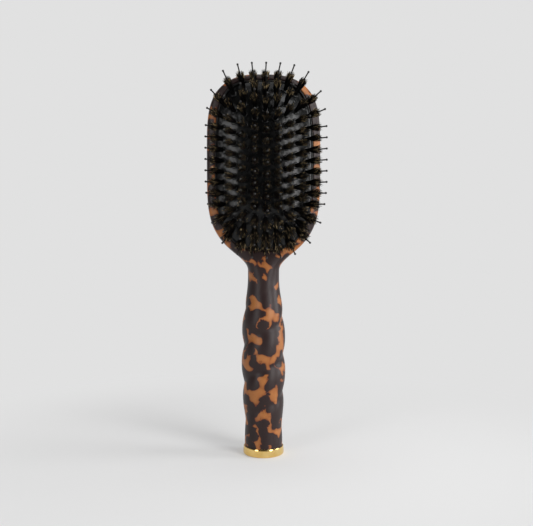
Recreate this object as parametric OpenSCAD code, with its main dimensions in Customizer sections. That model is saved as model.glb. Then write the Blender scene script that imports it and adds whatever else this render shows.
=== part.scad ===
// Vanity hairbrush: a one-piece tortoiseshell paddle with a twisted handle, a pneumatic
// rubber cushion with tufts of boar hair and ball-tipped nylon pins, and a gold end cap.
// Millimetres. The brush stands on its cap: +Z runs up the handle, the tufts face -Y.
// The origin is the centre of the cap's flat base.

/* [Overall] */
// Height from the base of the cap to the top of the head
brush_h = 245.7; // [235:0.1:256]
// Largest half width of the head
head_hw = 36.4; // [34:0.1:38]
// Height of the widest part of the head
head_wide_z = 189; // [186:0.5:192]
// Radius of the neck between handle and head
neck_r = 10.1; // [9.5:0.1:11]

/* [Head] */
// Distance from the middle plane to the rim's front
front_d = 7.5; // [7:0.1:9]
// Distance from the middle plane to the crown of the back
back_d = 8.6; // [8:0.1:10]
// Height of the middle of the cushion recess
pad_z = 187.3; // [186:0.1:188]
// Half width of the recess
recess_hw = 31.4; // [31:0.1:31.8]
// Half height of the recess
recess_hh = 54.2; // [53.5:0.1:54.6]
// Depth of the recess below the rim
recess_depth = 7; // [6.5:0.1:8]

/* [Handle] */
// Height over which each crease turns once round the handle
twist_lead = 49; // [46:0.5:54]
// Height at which the creases reach the left and right sides
crease_z = 69.3; // [64:0.1:74]
// Slant that carries the creases lower on the right
crease_slant = 0.19; // [0:0.01:0.3]

/* [Cushion] */
// Radius of the crown across the cushion
crown_r = 58; // [54:0.5:62]
// Thickness of the rubber
rubber_t = 1.3; // [1:0.1:1.5]

/* [Tufts] */
// Spacing of the columns
column_pitch = 6.5; // [6.3:0.1:6.8]
// Spacing of the rows
row_pitch = 6.85; // [6.6:0.05:7.2]
// Rise of the rows for each millimetre towards a side of the cushion
row_slope = 0.39; // [0:0.01:0.5]
// Length of a boar tuft
tuft_len = 12.5; // [11:0.1:14]
// Height of a nylon pin's ball above the cushion
pin_len = 19.1; // [17:0.1:21]

/* [Cap] */
// Radius of the gold cap
cap_r = 13.3; // [13:0.1:14]
// Height of the gold cap
cap_h = 5.5; // [5:0.1:7]

/* [Hidden] */

shell = [0.25, 0.14, 0.09];
rubber = [0.16, 0.16, 0.17];
black = [0.07, 0.06, 0.06];
gold = [0.83, 0.68, 0.35];

// ---- Outline ------------------------------------------------------------------------------
// Larger of two values, with the corner between them rounded over a width k.
function soft_max(a, b, k) = max(a, b) + pow(max(k - abs(a - b), 0), 2) / (4 * k);
function smooth(t) = let (u = min(max(t, 0), 1)) u * u * (3 - 2 * u);
// Falls from 1 to 0 as t goes from 0 to 1: flat at first for a high power, rounded off by round.
function shoulder(t, power, round) = pow(max(1 - pow(t, power), 0), round);

// Half width of the head alone: a rounded shoulder above, a long funnel below.
funnel_h = 69.5;
top_power = 4.5;
top_round = 0.42;
funnel_power = 4.38;
funnel_round = 1.15;
function head_half(z) = head_hw * (z > head_wide_z
    ? shoulder((z - head_wide_z) / (brush_h - head_wide_z), top_power, top_round)
    : shoulder((head_wide_z - z) / funnel_h, funnel_power, funnel_round));

// Handle stations: height, radius over the lobes, depth of the creases.
handle_z = [2.9, 10, 22, 36, 55, 80, 93, 102, 110, 122];
lobe_r = [12.3, 12.3, 12.1, 13.5, 14.3, 14.1, 13.3, 11.4, neck_r, neck_r];
crease_d = [0, 0, 0.7, 1.6, 2.1, 2.1, 1.7, 0.7, 0, 0];
function station(list, z) = lookup(z, [for (i = [0:len(handle_z) - 1]) [handle_z[i], list[i]]]);
// The straight lookup is averaged over a few millimetres, which rounds its corners.
ease_offsets = [-6, -4, -2, 0, 2, 4, 6];
function eased(list, z) =
    [for (d = ease_offsets) station(list, z + d)] * [for (d = ease_offsets) 1 / len(ease_offsets)];

// How far the front or back is rounded in, within reach of the top of the head.
front_ease = [4, 2.4];
back_ease = [16, 2.2];
function top_ease(z, ease) =
    pow(1 - pow(1 - min(max(brush_h - z, 0) / ease[0], 1), ease[1]), 1 / ease[1]);

// The round handle turns into the flat head over this stretch.
flatten_from_z = 112;
flatten_h = 34;
function head_share(z) = smooth((z - flatten_from_z) / flatten_h);
function depth(z, head_d, ease) =
    (eased(lobe_r, z) * (1 - head_share(z)) + head_d * head_share(z)) * top_ease(z, ease);

neck_blend = 9;
function half_width(z) =
    z > head_wide_z ? head_half(z) : soft_max(head_half(z), eased(lobe_r, z), neck_blend);

// Share of the crease's depth at angle a: two creases wind round the handle like the lay of a rope.
crease_floor = 0.03;
crease_power = 1.3;
function crease(a, z, x) =
    let (turn = a - 180 - 360 * (z + crease_slant * x - crease_z) / twist_lead)
    pow(1 - sqrt(crease_floor + (1 - crease_floor) * pow(sin(turn), 2)), crease_power);

// Sections are round on the handle and squarer on the head, most of all at the front.
front_square = 3.4;
back_square = 0.7;

function section_point(a, z) =
    let (front = sin(a) < 0,
         n = 2 / (2 + (front ? front_square : back_square) * head_share(z)),
         x = half_width(z) * sign(cos(a)) * pow(abs(cos(a)), n),
         d = front ? depth(z, front_d, front_ease) : depth(z, back_d, back_ease),
         y = d * sign(sin(a)) * pow(abs(sin(a)), n),
         k = 1 - eased(crease_d, z) * crease(a, z, x) / eased(lobe_r, z))
    [k * x, k * y, z];

// Heights of the sections: close together round the twist and near the top.
top_from_z = 226.5;
section_z = concat([handle_z[0]],
                   [for (z = [6:2.5:111]) z],
                   [for (z = [114:3:156]) z],
                   [for (z = [162:8:226]) z],
                   [for (a = [20:14:90]) top_from_z + (brush_h - top_from_z - 0.05) * sin(a)]);
section_n = 56;

module lofted_body() {
    m = len(section_z);
    points = [for (z = section_z, i = [0:section_n - 1]) section_point(360 * i / section_n, z)];
    sides = [for (j = [0:m - 2], i = [0:section_n - 1])
        let (k = (i + 1) % section_n)
        each [[j * section_n + i, (j + 1) * section_n + i, (j + 1) * section_n + k],
              [j * section_n + i, (j + 1) * section_n + k, j * section_n + k]]];
    bottom = [[for (i = [0:section_n - 1]) i]];
    top = [[for (i = [section_n - 1:-1:0]) (m - 1) * section_n + i]];
    polyhedron(points, concat(sides, bottom, top), convexity = 6);
}

// ---- Cushion recess -----------------------------------------------------------------------
recess_floor_y = recess_depth - front_d;
// Rounded outline of the recess, drawn in x and z, moved inwards by inset. It is squarer above.
pad_power_up = 3.5;
pad_power_down = 2.8;
function pad_squareness(a) = 2 / (sin(a) > 0 ? pad_power_up : pad_power_down);
function pad_point(a, inset) = [
    (recess_hw - inset) * sign(cos(a)) * pow(abs(cos(a)), pad_squareness(a)),
    pad_z + (recess_hh - inset) * sign(sin(a)) * pow(abs(sin(a)), pad_squareness(a))];
module pad_outline(inset) {
    polygon([for (a = [0:7.5:359]) pad_point(a, inset)]);
}
// The outline as a block between two depths.
module pad_block(inset, y_front, y_back) {
    translate([0, y_back, 0])
        rotate([90, 0, 0]) linear_extrude(y_back - y_front) pad_outline(inset);
}

insert_r = 3.5;
insert_h = 12;
insert_z = 3.4;
bore_top = 17.4;

module handle_body() {
    color(shell) difference() {
        lofted_body();
        pad_block(0, -front_d - 2, recess_floor_y);
        cylinder(r = insert_r, h = bore_top, $fn = 48);
    }
}

// ---- Cushion ------------------------------------------------------------------------------
flange_y = recess_floor_y - 0.1;
flange_inset = 0.3;
frame_gap = 0.15;
frame_w = 0.8;
frame_sink = 0.6;
wall_inset = 2 * frame_gap + frame_w;
crown_h = 8.6;
crown_y = -front_d - crown_h;
hole_gap = 0.3;
hole_h = 8;
// A vent near the foot of the cushion lets its air out when it is pressed.
vent_r = 0.9;
vent_drop = 44;
// Half length of the straight middle of the crown, whose ends are rounded like its sides.
crown_l = recess_hh - recess_hw;

function from_spine(x, z) = norm([x, max(abs(z - pad_z) - crown_l, 0)]);
function surface_y(x, z) = crown_y + crown_r - sqrt(pow(crown_r, 2) - pow(from_spine(x, z), 2));

// A long round-ended drum, whose front is the crown.
module crown_drum(r) {
    translate([0, crown_y + crown_r, pad_z]) rotate_extrude($fn = 96) intersection() {
        union() {
            square([2 * r, 2 * crown_l], center = true);
            for (s = [-1, 1]) translate([0, s * crown_l]) circle(r, $fn = 96);
        }
        translate([0, -2 * r]) square([2 * r, 4 * r]);
    }
}

module air_cushion() {
    color(rubber) difference() {
        union() {
            intersection() {
                crown_drum(crown_r);
                pad_block(wall_inset, crown_y - 1, flange_y);
            }
            pad_block(flange_inset, flange_y - rubber_t, flange_y);
        }
        intersection() {
            crown_drum(crown_r - rubber_t);
            pad_block(wall_inset + rubber_t, crown_y - 1, flange_y + 1);
        }
        for (p = tufts) at_tuft(p) cylinder(r = plug_r + hole_gap, h = hole_h, center = true, $fn = 24);
        at_tuft([column_pitch / 2, pad_z - vent_drop])
            cylinder(r = vent_r, h = hole_h, center = true, $fn = 24);
    }
}

// Snap-in frame that holds the cushion's flange down and fills the groove inside the rim.
module cushion_frame() {
    color(black) difference() {
        pad_block(frame_gap, -front_d + frame_sink, flange_y - rubber_t - 0.02);
        pad_block(frame_gap + frame_w, -front_d, flange_y);
    }
}

// ---- Tufts --------------------------------------------------------------------------------
// The field of tufts reaches higher above the cushion's middle than below it.
field_hw = 26.4;
field_up = 48;
field_down = 45;
field_power_up = 4.5;
field_power_down = 3.3;
plug_r = 1.1;
plug_head_r = 1.6;
plug_head_h = 0.9;
plug_reach = rubber_t + 0.9;
pin_r = 0.42;
pin_ball_r = 0.7;
tuft_seat = 0.35;
tuft_top_r = 1.75;

function field_power(dz) = dz > 0 ? field_power_up : field_power_down;
function field_reach(dz) = dz > 0 ? field_up : field_down;
// Height of the field's edge above its middle at x, and its half width at height dz.
function field_half_h(x, side) = field_reach(side)
    * pow(1 - pow(abs(x) / field_hw, field_power(side)), 1 / field_power(side));
function field_half_w(dz) = field_hw
    * pow(max(1 - pow(abs(dz) / field_reach(dz), field_power(dz)), 0), 1 / field_power(dz));

// Rows are chevrons: level in the middle, then rising evenly towards both sides.
chevron_round = 4;
row_shift = 0.4;
function row_dz(i, x) =
    i * row_pitch + row_shift + row_slope * (norm([x, chevron_round]) - chevron_round);

// Inner columns run from end to end of the field, with a tuft at each end.
end_room = 0.62 * row_pitch;
inner_tufts = [for (k = [-3:3])
    let (x = k * column_pitch,
         top = field_half_h(x, 1),
         bottom = -field_half_h(x, -1),
         rows = [for (i = [-8:8]) let (d = row_dz(i, x))
             if (d > bottom + end_room && d < top - end_room) d])
    each [for (d = concat([bottom], rows, [top])) [x, pad_z + d]]];
// The outermost columns end the rows, along the rounded edge of the field.
side_shift = 0.4;
side_tufts = [for (s = [-1, 1], i = [-5:5])
    let (d = (i + side_shift) * row_pitch) [s * field_half_w(d), pad_z + d]];
tufts = concat(inner_tufts, side_tufts);

// Tufts are grouped by distance from the spine of the crown, because they give way together.
function zone_of(p) = min(floor(from_spine(p.x, p.y) / column_pitch + 0.5), 4);
function zone(n) = [for (p = tufts) if (zone_of(p) == n) p];

// Tufts lean outwards, most of all along the edge of the field.
lean_x = 0.0266;
lean_z = 0.045;
lean_from = 25;
inner_lean = 0.35;
function lean(p) =
    let (dz = p.y - pad_z,
         edge = min(abs(p.x) / max(field_half_w(dz), 1), 1),
         across = lean_x * (inner_lean + (1 - inner_lean) * pow(edge, 2)),
         v = [across * p.x, -1, lean_z * sign(dz) * max(abs(dz) - lean_from, 0)])
    v / norm(v);
// Puts its children on the cushion at p, with +Z along the tuft.
module at_tuft(p) {
    d = lean(p);
    translate([p.x, surface_y(p.x, p.y), p.y]) rotate([0, acos(d.z), atan2(d.y, d.x)]) children();
}

// A nylon plug: a head inside the air chamber and a stem through the rubber.
module tuft_plugs(n) {
    color(black) for (p = zone(n)) at_tuft(p) {
        translate([0, 0, -plug_reach - plug_head_h]) cylinder(r = plug_head_r, h = plug_head_h, $fn = 24);
        translate([0, 0, -plug_reach]) cylinder(r = plug_r, h = plug_reach + tuft_seat, $fn = 24);
    }
}
module boar_tufts(n) {
    color([0.12, 0.08, 0.06]) for (p = zone(n)) at_tuft(p) rotate_extrude($fn = 24)
        polygon([[pin_r, tuft_seat], [plug_r, tuft_seat], [tuft_top_r, tuft_len], [pin_r, tuft_len]]);
}
module nylon_pins(n) {
    color(black) for (p = zone(n)) at_tuft(p) {
        translate([0, 0, tuft_seat]) cylinder(r = pin_r, h = pin_len - tuft_seat, $fn = 16);
        translate([0, 0, pin_len]) sphere(pin_ball_r, $fn = 16);
    }
}

module tuft_plugs_centre() { tuft_plugs(0); }
module tuft_plugs_inner() { tuft_plugs(1); }
module tuft_plugs_middle() { tuft_plugs(2); }
module tuft_plugs_outer() { tuft_plugs(3); }
module tuft_plugs_edge() { tuft_plugs(4); }
module boar_tufts_centre() { boar_tufts(0); }
module boar_tufts_inner() { boar_tufts(1); }
module boar_tufts_middle() { boar_tufts(2); }
module boar_tufts_outer() { boar_tufts(3); }
module boar_tufts_edge() { boar_tufts(4); }
module nylon_pins_centre() { nylon_pins(0); }
module nylon_pins_inner() { nylon_pins(1); }
module nylon_pins_middle() { nylon_pins(2); }
module nylon_pins_outer() { nylon_pins(3); }
module nylon_pins_edge() { nylon_pins(4); }

// ---- End cap ------------------------------------------------------------------------------
cap_round = 1.5;
cap_bulge = 0.32;
cap_floor = 2.5;
cup_gap = 0.15;
washer_r = 12;
stud_r = 2.5;
stud_bottom = 0.9;
stud_h = 14;

// The cap's foot is rounded, and its side draws in by cap_bulge towards the top.
cap_foot = [for (a = [0:15:90]) [cap_r - cap_round * (1 - sin(a)), cap_round * (1 - cos(a))]];
cap_side = [for (u = [0.125:0.125:1]) [cap_r - cap_bulge * u * u, cap_round + (cap_h - cap_round) * u]];

module end_cap() {
    color(gold) rotate_extrude($fn = 96) difference() {
        polygon(concat([[0, 0]], cap_foot, cap_side, [[0, cap_h]]));
        translate([0, cap_floor]) square([lobe_r[0] + cup_gap, cap_h]);
        translate([0, stud_bottom]) square([stud_r, cap_h]);
    }
}
module cap_washer() {
    color(black) translate([0, 0, cap_floor]) linear_extrude(handle_z[0] - cap_floor) difference() {
        circle(washer_r, $fn = 96);
        circle(stud_r + cup_gap, $fn = 48);
    }
}
module cap_stud() {
    color("silver") translate([0, 0, stud_bottom]) cylinder(r = stud_r, h = stud_h, $fn = 48);
}
module threaded_insert() {
    color("darkgoldenrod") translate([0, 0, insert_z]) linear_extrude(insert_h) difference() {
        circle(insert_r, $fn = 48);
        circle(stud_r, $fn = 48);
    }
}

handle_body();
air_cushion();
cushion_frame();
tuft_plugs_centre();
tuft_plugs_inner();
tuft_plugs_middle();
tuft_plugs_outer();
tuft_plugs_edge();
boar_tufts_centre();
boar_tufts_inner();
boar_tufts_middle();
boar_tufts_outer();
boar_tufts_edge();
nylon_pins_centre();
nylon_pins_inner();
nylon_pins_middle();
nylon_pins_outer();
nylon_pins_edge();
end_cap();
cap_washer();
cap_stud();
threaded_insert();
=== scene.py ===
import math

import bmesh
import bpy
import numpy as np
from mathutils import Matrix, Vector


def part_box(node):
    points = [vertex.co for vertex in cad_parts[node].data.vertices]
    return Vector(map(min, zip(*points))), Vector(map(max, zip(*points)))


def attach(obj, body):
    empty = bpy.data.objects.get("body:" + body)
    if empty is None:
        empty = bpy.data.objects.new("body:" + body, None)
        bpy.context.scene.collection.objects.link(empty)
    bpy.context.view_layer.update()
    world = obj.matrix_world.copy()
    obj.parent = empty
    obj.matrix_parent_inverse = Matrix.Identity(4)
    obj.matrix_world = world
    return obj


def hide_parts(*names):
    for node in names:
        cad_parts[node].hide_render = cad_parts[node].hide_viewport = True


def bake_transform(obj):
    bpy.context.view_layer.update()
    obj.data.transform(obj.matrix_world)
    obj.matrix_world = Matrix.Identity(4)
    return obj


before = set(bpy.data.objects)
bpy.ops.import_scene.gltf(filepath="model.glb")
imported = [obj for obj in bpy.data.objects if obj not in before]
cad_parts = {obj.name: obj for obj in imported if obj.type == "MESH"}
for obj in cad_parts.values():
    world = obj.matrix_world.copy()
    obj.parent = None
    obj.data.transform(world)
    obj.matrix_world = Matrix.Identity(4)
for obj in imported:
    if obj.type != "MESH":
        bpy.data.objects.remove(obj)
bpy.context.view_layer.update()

MM = 0.001
ZONES = ["centre", "inner", "middle", "outer", "edge"]
rng = np.random.default_rng(7)


def box_mm(name):
    """Lowest and highest corners of a CAD node, in millimetres."""
    return [np.array(corner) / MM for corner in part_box(name)]


# ---- Sizes of the body, in millimetres ----
body_low, body_high = box_mm("handle_body")
BRUSH_H = body_high[2]
HEAD_HW = body_high[0]
HANDLE_FOOT_Z = body_low[2]
HEAD_WIDE_Z = 189.0
FUNNEL_H = 69.5

# How squarely the head's outline closes above its widest height, and how it narrows below it.
TOP_POWERS = (4.5, 0.42)
FUNNEL_POWERS = (4.38, 1.15)
NECK_R = 10.1
NECK_BLEND = 9.0
FRONT_D = 7.5
BACK_D = 8.6
FRONT_SQUARE = 3.4
BACK_SQUARE = 0.7
FLATTEN_FROM_Z = 112.0
FLATTEN_H = 34.0

# How far below the top the front and the back start to round in, and how squarely.
FRONT_EASE = (4.0, 2.4)
BACK_EASE = (16.0, 2.2)

# The handle's radius and the depth of its creases at each height.
HANDLE_Z = [HANDLE_FOOT_Z, 10, 22, 36, 55, 80, 93, 102, 110, 122]
LOBE_R = [12.3, 12.3, 12.1, 13.5, 14.3, 14.1, 13.3, 11.4, NECK_R, NECK_R]
CREASE_D = [0, 0, 0.7, 1.6, 2.1, 2.1, 1.7, 0.7, 0, 0]
EASE_REACH = 6
TWIST_LEAD = 49.0
CREASE_Z = 69.3
CREASE_SLANT = 0.19
CREASE_FLOOR = 0.03
CREASE_POWER = 1.3

# The body's rings: even steps up the handle and the head, then ever closer ones up to the top.
BODY_COUNT = 176
HANDLE_STEP, HEAD_STEP = 0.75, 1.0
HEAD_STEP_FROM_Z, HEAD_STEP_TO_Z = 124.0, 224.0
TOP_RINGS_H = 21.7
TOP_RINGS = np.linspace(1, 0.012, 46) ** 2

insert_high = box_mm("threaded_insert")[1]
BORE_R = insert_high[0]
BORE_TOP = insert_high[2] + 2.0
BORE_RUNOUT = 1.0
BORE_COUNT = 48

# ---- Sizes of the recess, the cushion and its frame ----
frame_low, frame_high = box_mm("cushion_frame")
cushion_low, cushion_high = box_mm("air_cushion")
PAD_COUNT = 288
PAD_TOP_POWER, PAD_FOOT_POWER = 3.5, 2.8
FRAME_INSET = 0.15
FRAME_W = 0.8
FRAME_SOFT = 0.35
FRAME_BEVEL = 0.1
FRAME_FRONT_Y = frame_low[1]
FRAME_BACK_Y = frame_high[1]
PAD_Z = (frame_low[2] + frame_high[2]) / 2
RECESS_HW = frame_high[0] + FRAME_INSET
RECESS_HH = (frame_high[2] - frame_low[2]) / 2 + FRAME_INSET
RIM_R = 0.8
RIM_ANGLES = range(0, 61, 12)
RIM_RUN = 1.5
RECESS_MOUTH_Y = -12.0
FLANGE_Y = cushion_high[1]
FLANGE_INSET = 0.3
RECESS_FLOOR_Y = FLANGE_Y + 0.1
RUBBER_T = 1.3
WALL_INSET = 1.1
WALL_Y = (-5.0, -3.2)
WALL_FOOT_H, WALL_FOOT_W = 0.5, 0.3
INSIDE_FOOT_H = 1.0
CROWN_R = 58.0
CROWN_Y = cushion_low[1]
CROWN_L = RECESS_HH - RECESS_HW
CROWN_EDGE_R = 0.6
CROWN_SHARES = np.linspace(0.02, 1, 44)

# ---- Sizes of the cap ----
cap_high = box_mm("end_cap")[1]
CAP_R, CAP_H = cap_high[0], cap_high[2]
CAP_COUNT = 160
CAP_ROUND = 1.5
CAP_BULGE = 0.32
CAP_LIP = 0.2
LIP_ANGLES = (28, 46, 64, 90)
CAP_STEPS, WALL_STEPS = 13, 14
CAP_CUP_R = 12.45
CAP_CUP_BEVEL = 0.1
CAP_FLOOR = box_mm("cap_washer")[0][2]
stud_low, stud_high = box_mm("cap_stud")
STUD_R = stud_high[0]
STUD_BOTTOM = stud_low[2]


# ---- The outline of the brush ----
def round_angles(count):
    """Evenly spaced angles of one turn."""
    return np.arange(count) * 2 * math.pi / count


def smooth(t):
    u = np.clip(t, 0, 1)
    return u * u * (3 - 2 * u)


def soft_max(a, b, k):
    return np.maximum(a, b) + np.maximum(k - np.abs(a - b), 0) ** 2 / (4 * k)


def eased(values, z):
    """The handle's values at height z, averaged over EASE_REACH to either side."""
    near = range(-EASE_REACH, EASE_REACH + 1, 2)
    return np.mean([np.interp(z + d, HANDLE_Z, values) for d in near], axis=0)


def head_half(z):
    """Half width of the head, which closes squarely at the top and as a funnel below."""
    above = np.clip((z - HEAD_WIDE_Z) / (BRUSH_H - HEAD_WIDE_Z), 0, 1)
    below = np.clip((HEAD_WIDE_Z - z) / FUNNEL_H, 0, 1)
    top = (1 - above ** TOP_POWERS[0]) ** TOP_POWERS[1]
    funnel = (1 - below ** FUNNEL_POWERS[0]) ** FUNNEL_POWERS[1]
    return HEAD_HW * np.where(z > HEAD_WIDE_Z, top, funnel)


def half_width(z):
    joined_width = soft_max(head_half(z), eased(LOBE_R, z), NECK_BLEND)
    return np.where(z > HEAD_WIDE_Z, head_half(z), joined_width)


def head_share(z):
    """How much of the section at height z is the head's: 0 in the handle, 1 in the head."""
    return smooth((z - FLATTEN_FROM_Z) / FLATTEN_H)


def depth(z, head_depth, ease):
    """Distance of the front or back from the middle plane, rounded in near the top of the head."""
    reach, power = ease
    t = np.clip((BRUSH_H - z) / reach, 0, 1)
    share = head_share(z)
    return (eased(LOBE_R, z) * (1 - share) + head_depth * share) * (1 - (1 - t) ** power) ** (1 / power)


def front_y(x, z):
    n = 2 + FRONT_SQUARE * head_share(z)
    inside = 1 - np.clip(np.abs(x) / half_width(z), 0, 1) ** n
    return -depth(z, FRONT_D, FRONT_EASE) * inside ** (1 / n)


def section(z, count):
    """The closed outline of the body at height z, with the two creases of the twist cut into it."""
    a = round_angles(count)
    c, s = np.cos(a), np.sin(a)
    n = 2 / (2 + np.where(s < 0, FRONT_SQUARE, BACK_SQUARE) * head_share(z))
    x = half_width(z) * np.sign(c) * np.abs(c) ** n
    deep = np.where(s < 0, depth(z, FRONT_D, FRONT_EASE), depth(z, BACK_D, BACK_EASE))
    y = deep * np.sign(s) * np.abs(s) ** n
    turn = a - math.pi - 2 * math.pi * (z + CREASE_SLANT * x - CREASE_Z) / TWIST_LEAD
    crease = (1 - np.sqrt(CREASE_FLOOR + (1 - CREASE_FLOOR) * np.sin(turn) ** 2)) ** CREASE_POWER
    k = 1 - eased(CREASE_D, z) * crease / eased(LOBE_R, z)
    return np.stack([k * x, k * y, np.full(count, z)], axis=1)


def pad_ring(inset, y, share=1.0):
    """The recess outline moved inwards by inset, at depth y, shrunk to share of its size."""
    a = round_angles(PAD_COUNT)
    c, s = np.cos(a), np.sin(a)
    n = np.where(s > 0, 2 / PAD_TOP_POWER, 2 / PAD_FOOT_POWER)
    x = share * (RECESS_HW - inset) * np.sign(c) * np.abs(c) ** n
    z = PAD_Z + share * (RECESS_HH - inset) * np.sign(s) * np.abs(s) ** n
    return np.stack([x, np.broadcast_to(y, x.shape).astype(float), z], axis=1)


def crown_ring(inset, back, share=1.0):
    """A ring that lies on the cushion's crown, moved back by back."""
    ring = pad_ring(inset, 0, share)
    rho = np.hypot(ring[:, 0], np.maximum(np.abs(ring[:, 2] - PAD_Z) - CROWN_L, 0))
    ring[:, 1] = CROWN_Y + CROWN_R - np.sqrt(CROWN_R**2 - rho**2) + back
    return ring


# ---- Mesh helpers ----
def finished_mesh(mesh, sharp_deg):
    mesh.shade_smooth()
    mesh.set_sharp_from_angle(angle=math.radians(sharp_deg))


def mesh_object(name, points, faces, sharp_deg=35.0):
    mesh = bpy.data.meshes.new(name)
    mesh.from_pydata([tuple(p) for p in np.asarray(points, float) * MM], [], faces)
    bm = bmesh.new()
    bm.from_mesh(mesh)
    bmesh.ops.recalc_face_normals(bm, faces=bm.faces)
    bm.to_mesh(mesh)
    bm.free()
    finished_mesh(mesh, sharp_deg)
    made = bpy.data.objects.new(name, mesh)
    bpy.context.scene.collection.objects.link(made)
    return made


def loft_faces(rings, count, closed=False):
    """Quads between successive rings of count points; closed joins the last ring to the first."""
    faces = []
    for j in range(rings if closed else rings - 1):
        here, there = j * count, (j + 1) % rings * count
        for i in range(count):
            k = (i + 1) % count
            faces.append((here + i, there + i, there + k, here + k))
    return faces


def capped_faces(rings, count):
    """Quads between successive rings, and one polygon over each end."""
    last = (rings - 1) * count
    return loft_faces(rings, count) + [tuple(range(count))[::-1], tuple(range(last, last + count))]


def loft(name, rings, sharp_deg=35.0, caps=True):
    """A solid through rings, closed by a fan at each end, or a closed band without caps."""
    count = len(rings[0])
    points = np.concatenate(rings)
    faces = loft_faces(len(rings), count, closed=not caps)
    if caps:
        for ring, start in ((rings[0], 0), (rings[-1], (len(rings) - 1) * count)):
            centre = len(points)
            points = np.concatenate([points, ring.mean(axis=0)[None]])
            faces += [(start + i, start + (i + 1) % count, centre) for i in range(count)]
    return mesh_object(name, points, faces, sharp_deg)


def lathe(name, profile, count):
    """A solid of revolution about Z from (radius, height) pairs."""
    a = round_angles(count)
    rings = [np.stack([r * np.cos(a), r * np.sin(a), np.full(count, z)], axis=1) for r, z in profile]
    return loft(name, rings)


def cut(piece, *cutters, sharp_deg=35.0):
    """Subtracts the cutters from piece, and removes them."""
    for cutter in cutters:
        tool = piece.modifiers.new("cut", "BOOLEAN")
        tool.operation, tool.solver, tool.object = "DIFFERENCE", "EXACT", cutter
    bpy.context.view_layer.update()
    evaluated = piece.evaluated_get(bpy.context.evaluated_depsgraph_get())
    mesh = bpy.data.meshes.new_from_object(evaluated)
    piece.modifiers.clear()
    old, piece.data = piece.data, mesh
    mesh.name = piece.name
    bpy.data.meshes.remove(old)
    for cutter in cutters:
        bpy.data.objects.remove(cutter)
    finished_mesh(mesh, sharp_deg)
    return piece


def islands(name):
    """The separate solids of a CAD node, each as an array of its points in millimetres."""
    bm = bmesh.new()
    bm.from_mesh(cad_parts[name].data)
    bmesh.ops.remove_doubles(bm, verts=bm.verts, dist=1e-6)
    seen, found = set(), []
    for start in bm.verts:
        if start in seen:
            continue
        seen.add(start)
        group, todo = [], [start]
        while todo:
            v = todo.pop()
            group.append(v.co[:])
            for e in v.link_edges:
                w = e.other_vert(v)
                if w not in seen:
                    seen.add(w)
                    todo.append(w)
        found.append(np.array(group) / MM)
    bm.free()
    return found


def axis_of(points):
    """(foot, direction, length) of a long solid that points away from the cushion."""
    centre = points.mean(axis=0)
    d = np.linalg.svd(points - centre, full_matrices=False)[2][0]
    d = d if d[1] < 0 else -d
    along = (points - centre) @ d
    return centre + along.min() * d, d, along.max() - along.min()


def side_vectors(d):
    """Two unit vectors square to d and to each other."""
    u = np.cross(d, [0.0, 0.0, 1.0])
    u /= np.linalg.norm(u)
    return u, np.cross(d, u)


def turned(foot, d, profile, sides):
    """Points of (radius, height) pairs turned about the axis from foot along d."""
    u, v = side_vectors(d)
    return [foot + d * h + r * (u * math.cos(b) + v * math.sin(b))
            for r, h in profile for b in round_angles(sides)]


# ---- Materials ----
# Moves the tortoiseshell through its pattern, so that another part of it falls on the brush.
SHELL_SHIFT = (0.169, 0.808, 0.364)


def new_material(name):
    made = bpy.data.materials.new(name)
    made.use_nodes = True
    return made, made.node_tree, made.node_tree.nodes["Principled BSDF"]


def node(tree, kind, inputs=(), **settings):
    """Adds a shader node; an input is linked where it is a socket and set where it is a value."""
    made = tree.nodes.new(kind)
    for key, value in settings.items():
        setattr(made, key, value)
    for key, value in dict(inputs).items():
        if isinstance(value, bpy.types.NodeSocket):
            tree.links.new(value, made.inputs[key])
        else:
            made.inputs[key].default_value = value
    return made


def coords(tree, kind="Object"):
    return node(tree, "ShaderNodeTexCoord").outputs[kind]


def math_node(tree, operation, *values):
    return node(tree, "ShaderNodeMath", dict(enumerate(values)), operation=operation).outputs[0]


def vector_node(tree, operation, inputs):
    return node(tree, "ShaderNodeVectorMath", inputs, operation=operation).outputs[0]


def noise(tree, where, scale, detail=2.0, roughness=0.5, output="Fac"):
    inputs = {"Vector": where, "Scale": scale, "Detail": detail, "Roughness": roughness}
    return node(tree, "ShaderNodeTexNoise", inputs).outputs[output]


def ramp(tree, fac, stops):
    made = node(tree, "ShaderNodeValToRGB", {"Fac": fac})
    elements = made.color_ramp.elements
    while len(elements) < len(stops):
        elements.new(0.5)
    for element, (place, colour) in zip(elements, stops):
        element.position, element.color = place, (*colour, 1.0)
    return made.outputs["Color"]


def spread(tree, value, low, high):
    """Maps a 0 to 1 value onto low to high."""
    inputs = {"Value": value, "To Min": low, "To Max": high}
    return node(tree, "ShaderNodeMapRange", inputs).outputs["Result"]


def smooth_step(tree, value, start, end, low=0.0, high=1.0):
    """Maps start to end smoothly onto low to high, and holds low and high outside them."""
    inputs = {"Value": value, "From Min": start, "From Max": end, "To Min": low, "To Max": high}
    return node(tree, "ShaderNodeMapRange", inputs, interpolation_type="SMOOTHSTEP").outputs["Result"]


def bump(tree, bsdf, height, strength, distance):
    inputs = {"Height": height, "Strength": strength, "Distance": distance * MM}
    made = node(tree, "ShaderNodeBump", inputs)
    tree.links.new(made.outputs["Normal"], bsdf.inputs["Normal"])


def warped(tree, where, scale, reach, roughness):
    """Coordinates pushed about by up to half of reach, so that what is drawn on them gets ragged."""
    push = noise(tree, where, scale, roughness=roughness, output="Color")
    push = vector_node(tree, "SUBTRACT", {0: push, 1: (0.5, 0.5, 0.5)})
    push = vector_node(tree, "SCALE", {0: push, "Scale": reach})
    return vector_node(tree, "ADD", {0: where, 1: push})


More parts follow.
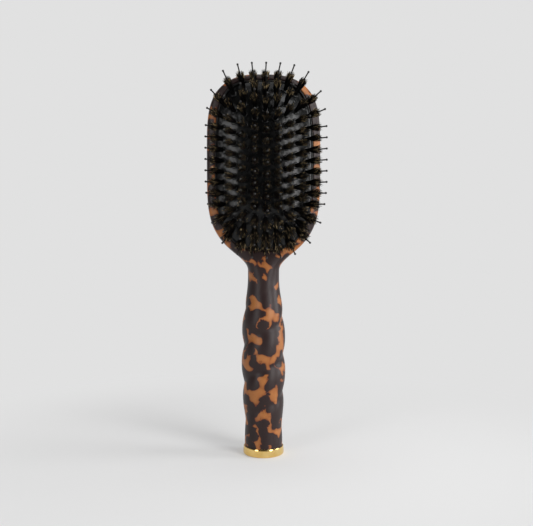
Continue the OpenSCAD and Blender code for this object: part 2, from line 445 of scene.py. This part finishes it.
def speckled(name, dark, light, scale, rough, metallic=0.0, grain=0.0, specular=0.5, ripple=0.0):
    """A finish that drifts between two shades, with uneven gloss, a fine grain and slow ripples."""
    gloss_share, grain_scale, ripple_scale = 3.1, 2500.0, 190.0
    made, tree, bsdf = new_material(name)
    where = coords(tree)
    drift = noise(tree, where, scale, detail=4.0)
    tree.links.new(ramp(tree, drift, [(0.35, dark), (0.65, light)]), bsdf.inputs["Base Color"])
    gloss = noise(tree, where, scale * gloss_share, detail=3.0)
    tree.links.new(spread(tree, gloss, *rough), bsdf.inputs["Roughness"])
    bsdf.inputs["Metallic"].default_value = metallic
    bsdf.inputs["Specular IOR Level"].default_value = specular
    height = math_node(tree, "MULTIPLY", noise(tree, where, grain_scale, detail=3.0), grain)
    if ripple:
        waves = noise(tree, where, ripple_scale, detail=1.0)
        height = math_node(tree, "MULTIPLY_ADD", waves, ripple, height)
    bump(tree, bsdf, height, strength=1.0, distance=1.0)
    return made


def shell_material():
    """Tortoiseshell: amber islands, bitten into by round dark spots, on a dark ground."""
    island_level, island_slope, spot_radius = 0.512, 1.5, 0.43
    made, tree, bsdf = new_material("tortoiseshell")
    where = vector_node(tree, "ADD", {0: coords(tree), 1: SHELL_SHIFT})
    islands_at = noise(tree, warped(tree, where, 90.0, reach=0.009, roughness=0.5), 132.0, detail=0.5)
    amber = math_node(tree, "SUBTRACT", islands_at, island_level)
    amber = math_node(tree, "MULTIPLY", amber, island_slope)
    ragged = warped(tree, where, 330.0, reach=0.004, roughness=0.6)
    spots = node(tree, "ShaderNodeTexVoronoi", {"Vector": ragged, "Scale": 116.0})
    around = math_node(tree, "SUBTRACT", spots.outputs["Distance"], spot_radius)
    shade = math_node(tree, "ADD", math_node(tree, "MINIMUM", amber, around), 0.5)
    colour = ramp(tree, shade, [
        (0.0, (0.019, 0.009, 0.009)), (0.494, (0.022, 0.011, 0.010)), (0.503, (0.105, 0.024, 0.015)),
        (0.522, (0.20, 0.062, 0.018)), (0.58, (0.28, 0.097, 0.026)), (0.70, (0.34, 0.128, 0.036)),
    ])
    tree.links.new(colour, bsdf.inputs["Base Color"])
    gloss = noise(tree, where, 700.0, detail=4.0)
    tree.links.new(spread(tree, gloss, 0.36, 0.45), bsdf.inputs["Roughness"])
    bsdf.inputs["Specular IOR Level"].default_value = 0.28
    bump(tree, bsdf, noise(tree, where, 180.0, detail=3.0), strength=0.35, distance=0.12)
    return made


def hair_material():
    """Boar hair: nearly black at the root, with painted highlights that make it browner and paler
    towards the flagged tip.
    """
    strand_share = 0.3
    made, tree, bsdf = new_material("boar_hair")
    where = coords(tree)
    along = node(tree, "ShaderNodeAttribute", attribute_name="along").outputs["Fac"]
    strand = noise(tree, where, 1300.0, detail=1.0)
    level = math_node(tree, "SUBTRACT", along, strand_share / 2)
    shade = math_node(tree, "MULTIPLY_ADD", strand, strand_share, level)
    # The brown and pale tan stops at the top of this ramp are painted highlights on the hair tips.
    colour = ramp(tree, shade, [(0.0, (0.002, 0.002, 0.002)), (0.82, (0.004, 0.003, 0.003)),
                                (0.93, (0.07, 0.048, 0.026)), (1.0, (0.50, 0.38, 0.21))])
    tree.links.new(colour, bsdf.inputs["Base Color"])
    tree.links.new(spread(tree, strand, 0.30, 0.50), bsdf.inputs["Roughness"])
    bsdf.inputs["Specular IOR Level"].default_value = 0.22
    return made


shell = shell_material()
rubber = speckled("cushion_rubber", (0.002, 0.002, 0.002), (0.004, 0.004, 0.004), scale=160.0,
                  rough=(0.18, 0.26), grain=0.03, specular=0.27, ripple=0.5)
black = speckled("black_plastic", (0.004, 0.004, 0.004), (0.008, 0.007, 0.007), scale=220.0,
                 rough=(0.45, 0.6), grain=0.01)
nylon = speckled("plug_nylon", (0.010, 0.009, 0.009), (0.022, 0.020, 0.018), scale=500.0,
                 rough=(0.45, 0.60), grain=0.01)
pin_nylon = speckled("pin_nylon", (0.005, 0.005, 0.005), (0.010, 0.009, 0.008), scale=800.0,
                     rough=(0.26, 0.36))
gold = speckled("gold_plate", (0.80, 0.53, 0.17), (0.88, 0.63, 0.25), scale=130.0,
                rough=(0.06, 0.12), metallic=1.0, grain=0.002)
washer_rubber = speckled("washer_rubber", (0.008, 0.008, 0.008), (0.016, 0.015, 0.015), scale=300.0,
                         rough=(0.55, 0.75), grain=0.02)
steel = speckled("stud_steel", (0.42, 0.42, 0.43), (0.60, 0.60, 0.61), scale=350.0,
                 rough=(0.25, 0.40), metallic=1.0, grain=0.01)
brass = speckled("insert_brass", (0.50, 0.34, 0.12), (0.66, 0.48, 0.20), scale=350.0,
                 rough=(0.28, 0.42), metallic=1.0, grain=0.01)
hair = hair_material()


def finish_piece(piece, material, body=None, replaces=()):
    piece.data.materials.clear()
    piece.data.materials.append(material)
    if body:
        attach(piece, body)
    if replaces:
        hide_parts(*replaces)
    return piece


# ---- Body ----
def make_body():
    heights = np.concatenate([
        np.arange(HANDLE_FOOT_Z, HEAD_STEP_FROM_Z, HANDLE_STEP),
        np.arange(HEAD_STEP_FROM_Z, HEAD_STEP_TO_Z, HEAD_STEP),
        BRUSH_H - TOP_RINGS_H * TOP_RINGS,
    ])
    body = loft("tortoiseshell_body", [section(z, BODY_COUNT) for z in heights], 40.0)

    start = pad_ring(0, 0)
    surface = front_y(start[:, 0], start[:, 2])
    rings = [pad_ring(0, RECESS_FLOOR_Y)]
    for phi in np.radians(RIM_ANGLES):
        rings.append(pad_ring(-RIM_R * (1 - math.cos(phi)), surface + RIM_R * (1 - math.sin(phi))))
    beyond = -RIM_R * (1 - math.cos(phi)) - RIM_RUN * math.sin(phi)
    rings.append(pad_ring(beyond, surface + RIM_R * (1 - math.sin(phi)) - RIM_RUN * math.cos(phi)))
    rings.append(pad_ring(beyond, RECESS_MOUTH_Y))
    recess = loft("recess", rings)
    bore = lathe("bore", [(BORE_R, HANDLE_FOOT_Z - BORE_RUNOUT), (BORE_R, BORE_TOP)], BORE_COUNT)
    return cut(body, recess, bore, sharp_deg=40.0)


finish_piece(make_body(), shell, "brush", ["handle_body"])


# ---- Cushion and its frame ----
def make_cushion():
    """The crown from its middle out, the wall down to the flange, and back along the inside."""
    rings = [crown_ring(WALL_INSET + CROWN_EDGE_R, 0, share) for share in CROWN_SHARES[:-1]]
    for phi in np.radians(range(0, 91, 15)):
        inset = WALL_INSET + CROWN_EDGE_R * (1 - math.sin(phi))
        rings.append(crown_ring(inset, CROWN_EDGE_R * (1 - math.cos(phi))))
    foot = FLANGE_Y - RUBBER_T
    inside = WALL_INSET + RUBBER_T
    rings += [pad_ring(WALL_INSET, y) for y in (*WALL_Y, foot - WALL_FOOT_H)]
    rings += [pad_ring(WALL_INSET - WALL_FOOT_W, foot), pad_ring(FLANGE_INSET, foot)]
    rings += [pad_ring(FLANGE_INSET, FLANGE_Y), pad_ring(inside, FLANGE_Y)]
    rings += [pad_ring(inside, foot - INSIDE_FOOT_H)]
    rings += [crown_ring(inside, RUBBER_T, share) for share in CROWN_SHARES[::-1]]
    return loft("rubber_cushion", rings, 50.0)


cushion = finish_piece(make_cushion(), rubber, None, ["air_cushion"])
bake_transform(cushion)


def make_frame():
    """A band whose two front edges are rounded."""
    outside, inside = FRAME_INSET, FRAME_INSET + FRAME_W
    soft_y, bevel_y = FRAME_FRONT_Y + FRAME_SOFT, FRAME_FRONT_Y + FRAME_BEVEL
    profile = [
        (outside, FRAME_BACK_Y), (outside, soft_y), (outside + FRAME_BEVEL, bevel_y),
        (outside + FRAME_SOFT, FRAME_FRONT_Y), (inside - FRAME_SOFT, FRAME_FRONT_Y),
        (inside - FRAME_BEVEL, bevel_y), (inside, soft_y), (inside, FRAME_BACK_Y),
    ]
    return loft("black_frame", [pad_ring(inset, y) for inset, y in profile], caps=False)


finish_piece(make_frame(), black, "brush", ["cushion_frame"])

# ---- Tufts ----
# A tuft's hairs root in a sunflower spiral. A tip stands TIP_SPREAD times as far from the tuft's
# middle as its root does, give or take TIP_STRAY.
HAIRS = 185
GOLDEN_ANGLE = 2.39996
ROOT_R = 1.1
ROOT_LAG = 0.10
TIP_SPREAD = (1.4, 2.5)
TIP_STRAY = (-0.3, 0.7)
FLARE_POWER = 1.4
TURN_STRAY = (-0.3, 0.3)
TURN_DRIFT = 0.25
HAIR_BEND, BEND_TURNS_AT = (-0.5, 0.5), 0.2

# A hair is HAIR_LENGTH of its CAD tuft's length, less up to HAIR_UNEVEN.
HAIR_LENGTH, HAIR_UNEVEN, UNEVEN_POWER = 1.08, 0.22, 1.5
HAIR_R = (0.10, 0.15)

# Where along a hair its points lie, and how much of its thickness it has there.
HAIR_STEPS = np.array([0.0, 0.35, 0.7, 0.92, 1.0])
HAIR_GIRTH = np.array([1.0, 1.0, 0.95, 0.8, 0.45])

# How pale a hair's painted tip highlight gets by its tip: most stay near the least, and a few get far
# paler.
GLINT_LEAST, GLINT_MORE, GLINT_POWER = 0.62, 0.68, 3

# The hairs of the lower tufts splay wider, by up to LOW_SPLAY from SPLAY_FULL_Z down.
SPLAY_FROM_Z = 185.0
SPLAY_FULL_Z = 150.0
LOW_SPLAY = 0.55

PIN_R = 0.42
BALL_R = 0.7
BALL_NECK_H, BALL_NECK_R, BALL_NECK_IN = 0.4, 1.1 * PIN_R, 0.06
BALL_ANGLES = (-44, -28, -10, 10, 30, 50, 68, 82)

# The rubber rolled up round a tuft's foot, as (radius, height) pairs.
COLLAR = [(1.12, -0.6), (2.35, -0.6), (2.2, -0.28), (1.85, -0.04),
          (1.5, 0.08), (1.22, 0.02), (1.12, -0.12)]


def strand_points(foot, d, length, sides=3):
    """One tuft's hairs: points, faces, and how far along its hair and how pale each point is; the
    paleness is a painted highlight on the tip.
    """
    u, v = side_vectors(d)
    t = HAIR_STEPS

    def each(least, most):
        return rng.uniform(least, most, (HAIRS, 1))

    k = np.arange(HAIRS)[:, None]
    root = ROOT_R * np.sqrt((k + 0.5) / HAIRS)
    lowness = np.clip((SPLAY_FROM_Z - foot[2]) / (SPLAY_FROM_Z - SPLAY_FULL_Z), 0.0, 1.0)
    tip = (root * each(*TIP_SPREAD) + each(*TIP_STRAY)) * (1.0 + LOW_SPLAY * lowness)
    reach = length * (HAIR_LENGTH - HAIR_UNEVEN * each(0, 1) ** UNEVEN_POWER) - ROOT_LAG * root
    bearing = k * GOLDEN_ANGLE + each(*TURN_STRAY) + rng.normal(0, TURN_DRIFT, (HAIRS, 1)) * t
    radius = root + (tip - root) * t**FLARE_POWER
    bend = t * (t - BEND_TURNS_AT)
    across = radius * np.cos(bearing) + each(*HAIR_BEND) * bend
    aslant = radius * np.sin(bearing) + each(*HAIR_BEND) * bend
    centre = foot + d * (reach * t)[..., None] + u * across[..., None] + v * aslant[..., None]
    around = bearing[..., None] + round_angles(sides)
    out = u * np.cos(around)[..., None] + v * np.sin(around)[..., None]
    points = centre[:, :, None] + (each(*HAIR_R) * HAIR_GIRTH)[..., None, None] * out
    # Painted highlight: the tip of each hair gets paler with this value, and only a few hairs reach a
    # pale tan tip.
    tip_glint = (GLINT_LEAST + GLINT_MORE * each(0, 1) ** GLINT_POWER) * t
    along = np.broadcast_to(tip_glint[..., None], around.shape)

    count = len(t) * sides
    hair_faces = capped_faces(len(t), sides)
    faces = [tuple(i + j * count for i in face) for j in range(HAIRS) for face in hair_faces]
    return points.reshape(-1, 3), faces, along.ravel()


def pin_points(foot, d, length, sides=12):
    """One ball-tipped pin: a slim shaft whose end swells into a ball."""
    centre = length - BALL_R
    ball_foot = centre - BALL_R
    profile = [(PIN_R, 0.0), (PIN_R, ball_foot - BALL_NECK_H), (BALL_NECK_R, ball_foot + BALL_NECK_IN)]
    profile += [(BALL_R * math.cos(e), centre + BALL_R * math.sin(e)) for e in np.radians(BALL_ANGLES)]
    return turned(foot, d, profile, sides), capped_faces(len(profile), sides)


def collar_points(foot, d, sides=20):
    return turned(foot, d, COLLAR, sides), loft_faces(len(COLLAR), sides, closed=True)


def joined(name, parts):
    """One mesh object out of the points and faces of several parts."""
    points, faces, first = [], [], 0
    for part_points, part_faces, *_ in parts:
        faces += [tuple(i + first for i in face) for face in part_faces]
        points.append(part_points)
        first += len(part_points)
    return mesh_object(name, np.concatenate(points), faces)


for zone in ZONES:
    body = "tufts_" + zone
    tufts = [axis_of(p) for p in islands("boar_tufts_" + zone)]
    tufts.sort(key=lambda tuft: (tuft[0][2], tuft[0][0]))
    strands = [strand_points(*tuft) for tuft in tufts]
    hairs = joined("boar_hair_" + zone, strands)
    # The along attribute carries each point's place on its hair together with its painted tip
    # highlight.
    along = np.concatenate([strand[2] for strand in strands])
    hairs.data.attributes.new("along", "FLOAT", "POINT").data.foreach_set("value", along)
    finish_piece(hairs, hair, body, ["boar_tufts_" + zone])

    pins = joined("ball_pins_" + zone, [pin_points(*axis_of(p)) for p in islands("nylon_pins_" + zone)])
    finish_piece(pins, pin_nylon, body, ["nylon_pins_" + zone])

    collars = joined("rubber_collars_" + zone, [collar_points(foot, d) for foot, d, _ in tufts])
    finish_piece(collars, rubber, body)
    finish_piece(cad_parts["tuft_plugs_" + zone], nylon)


# ---- Cap and the fixings inside it ----
def make_cap():
    """A shallow cup whose side bulges a little, with rounded edges."""
    foot = [(CAP_R - CAP_ROUND * (1 - math.sin(t)), CAP_ROUND * (1 - math.cos(t)))
            for t in np.radians(np.linspace(0, 90, CAP_STEPS))]
    wall_top = CAP_H - CAP_LIP
    wall = [(CAP_R - CAP_BULGE * u**2, CAP_ROUND + (wall_top - CAP_ROUND) * u)
            for u in np.linspace(0, 1, WALL_STEPS + 1)[1:]]
    top_r = wall[-1][0]
    lip = [(top_r - CAP_LIP * (1 - math.cos(t)), wall_top + CAP_LIP * math.sin(t))
           for t in np.radians(LIP_ANGLES)]
    cup = [(CAP_CUP_R + CAP_CUP_BEVEL, CAP_H), (CAP_CUP_R, CAP_H - CAP_CUP_BEVEL),
           (CAP_CUP_R, CAP_FLOOR), (STUD_R, CAP_FLOOR), (STUD_R, STUD_BOTTOM)]
    return lathe("gold_cap", foot + wall + lip + cup, CAP_COUNT)


finish_piece(make_cap(), gold, "brush", ["end_cap"])
finish_piece(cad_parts["cap_washer"], washer_rubber)
finish_piece(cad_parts["cap_stud"], steel)
finish_piece(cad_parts["threaded_insert"], brass)

# ---- Stage: metres and degrees ----
PALE = 0.753
WHITE = (1.0, 1.0, 1.0, 1.0)
FLOOR_HALF_MM, FLOOR_Z_MM = 3000, -0.02
# Near the brush the floor is partly lit by the lights and takes a shadow; beyond, it only glows.
LIT_SHARE = 0.54
LIT_LEVEL = 0.50
LIT_WITHIN, GLOW_BEYOND = 0.05, 0.28

# The room's light by the direction it comes from: negative Y is in front of the brush.
ROOM_DIM_Y, ROOM_BRIGHT_Y = -0.4, 0.9
ROOM_DIM, ROOM_BRIGHT = 0.02, 0.55

FOCAL_MM, SENSOR_MM, CLIP_START = 55.99, 36.0, 0.01
CAMERA_BEARING, CAMERA_DISTANCE, CAMERA_HEIGHT = 4.07, 0.537, 0.154
CAMERA_TURN, CAMERA_TIP = 4.277, -3.1

LIGHTS_AIM = Vector((0, 0, 0.13))
# Name, bearing from the front (positive to the right), elevation, distance, width, height, radiance.
SOFTBOXES = [
    ("key_light", 36, 44, 1.2, 0.50, 0.60, 4.6),
    ("front_right_light", 40, 6, 1.1, 0.36, 0.90, 8.0),
    ("side_light", 82, 10, 0.95, 0.35, 0.80, 7.5),
    ("front_left_light", -44, 6, 1.1, 0.36, 0.90, 4.6),
    ("top_light", 10, 84, 1.3, 0.9, 0.9, 1.6),
]


def grey(level):
    return (level, level, level, 1.0)


def make_floor():
    corners = [(-1, -1), (1, -1), (1, 1), (-1, 1)]
    points = [(x * FLOOR_HALF_MM, y * FLOOR_HALF_MM, FLOOR_Z_MM) for x, y in corners]
    floor = mesh_object("floor", points, [(0, 1, 2, 3)])
    made, tree, bsdf = new_material("pale_floor")
    tree.nodes.remove(bsdf)
    output = tree.nodes["Material Output"]
    far = node(tree, "ShaderNodeVectorMath", {0: coords(tree)}, operation="LENGTH").outputs["Value"]
    share = smooth_step(tree, far, LIT_WITHIN, GLOW_BEYOND)
    paint = node(tree, "ShaderNodeBsdfDiffuse", {"Color": grey(LIT_SHARE)}).outputs[0]
    base = node(tree, "ShaderNodeEmission", {"Color": WHITE, "Strength": PALE - LIT_LEVEL}).outputs[0]
    near = node(tree, "ShaderNodeAddShader", {0: paint, 1: base}).outputs[0]
    glow = node(tree, "ShaderNodeEmission", {"Color": grey(PALE)}).outputs[0]
    mixed = node(tree, "ShaderNodeMixShader", {0: share, 1: near, 2: glow}).outputs[0]
    tree.links.new(mixed, output.inputs["Surface"])
    floor.data.materials.append(made)


def make_world():
    """A pale wall for the camera, and for the brush a room that is dim in front and bright behind."""
    world = bpy.data.worlds.new("studio")
    bpy.context.scene.world = world
    world.use_nodes = True
    tree = world.node_tree
    tree.nodes.clear()
    seen = node(tree, "ShaderNodeLightPath").outputs["Is Camera Ray"]
    wall = node(tree, "ShaderNodeBackground", {"Color": grey(PALE)}).outputs[0]
    direction = node(tree, "ShaderNodeSeparateXYZ", {0: coords(tree, "Generated")})
    level = smooth_step(tree, direction.outputs["Y"], ROOM_DIM_Y, ROOM_BRIGHT_Y, ROOM_DIM, ROOM_BRIGHT)
    room = node(tree, "ShaderNodeBackground", {"Color": WHITE, "Strength": level}).outputs[0]
    mixed = node(tree, "ShaderNodeMixShader", {0: seen, 1: room, 2: wall}).outputs[0]
    output = node(tree, "ShaderNodeOutputWorld")
    tree.links.new(mixed, output.inputs["Surface"])


def softbox(name, bearing, elevation, distance, width, height, radiance):
    """An area light that faces the middle of the brush and isn't seen by the camera."""
    b, e = math.radians(bearing), math.radians(elevation)
    away = Vector((math.sin(b) * math.cos(e), -math.cos(b) * math.cos(e), math.sin(e)))
    light = bpy.data.lights.new(name, "AREA")
    light.shape, light.size, light.size_y = "RECTANGLE", width, height
    light.energy = radiance * math.pi * width * height
    made = bpy.data.objects.new(name, light)
    made.location = LIGHTS_AIM + away * distance
    made.rotation_euler = (-away).to_track_quat("-Z", "Y").to_euler()
    made.visible_camera = False
    bpy.context.scene.collection.objects.link(made)


def make_camera():
    camera = bpy.data.objects.new("camera", bpy.data.cameras.new("camera"))
    camera.data.lens, camera.data.sensor_width, camera.data.clip_start = FOCAL_MM, SENSOR_MM, CLIP_START
    bearing, turn, tip = np.radians((CAMERA_BEARING, CAMERA_TURN, CAMERA_TIP))
    back = Vector((-math.sin(bearing), -math.cos(bearing), 0))
    camera.location = back * CAMERA_DISTANCE + Vector((0, 0, CAMERA_HEIGHT))
    ahead = Vector((math.sin(turn) * math.cos(tip), math.cos(turn) * math.cos(tip), math.sin(tip)))
    camera.rotation_euler = ahead.to_track_quat("-Z", "Y").to_euler()
    bpy.context.scene.collection.objects.link(camera)
    bpy.context.scene.camera = camera


make_floor()
make_world()
make_camera()
for box in SOFTBOXES:
    softbox(*box)
bpy.context.scene.view_settings.view_transform = "Standard"
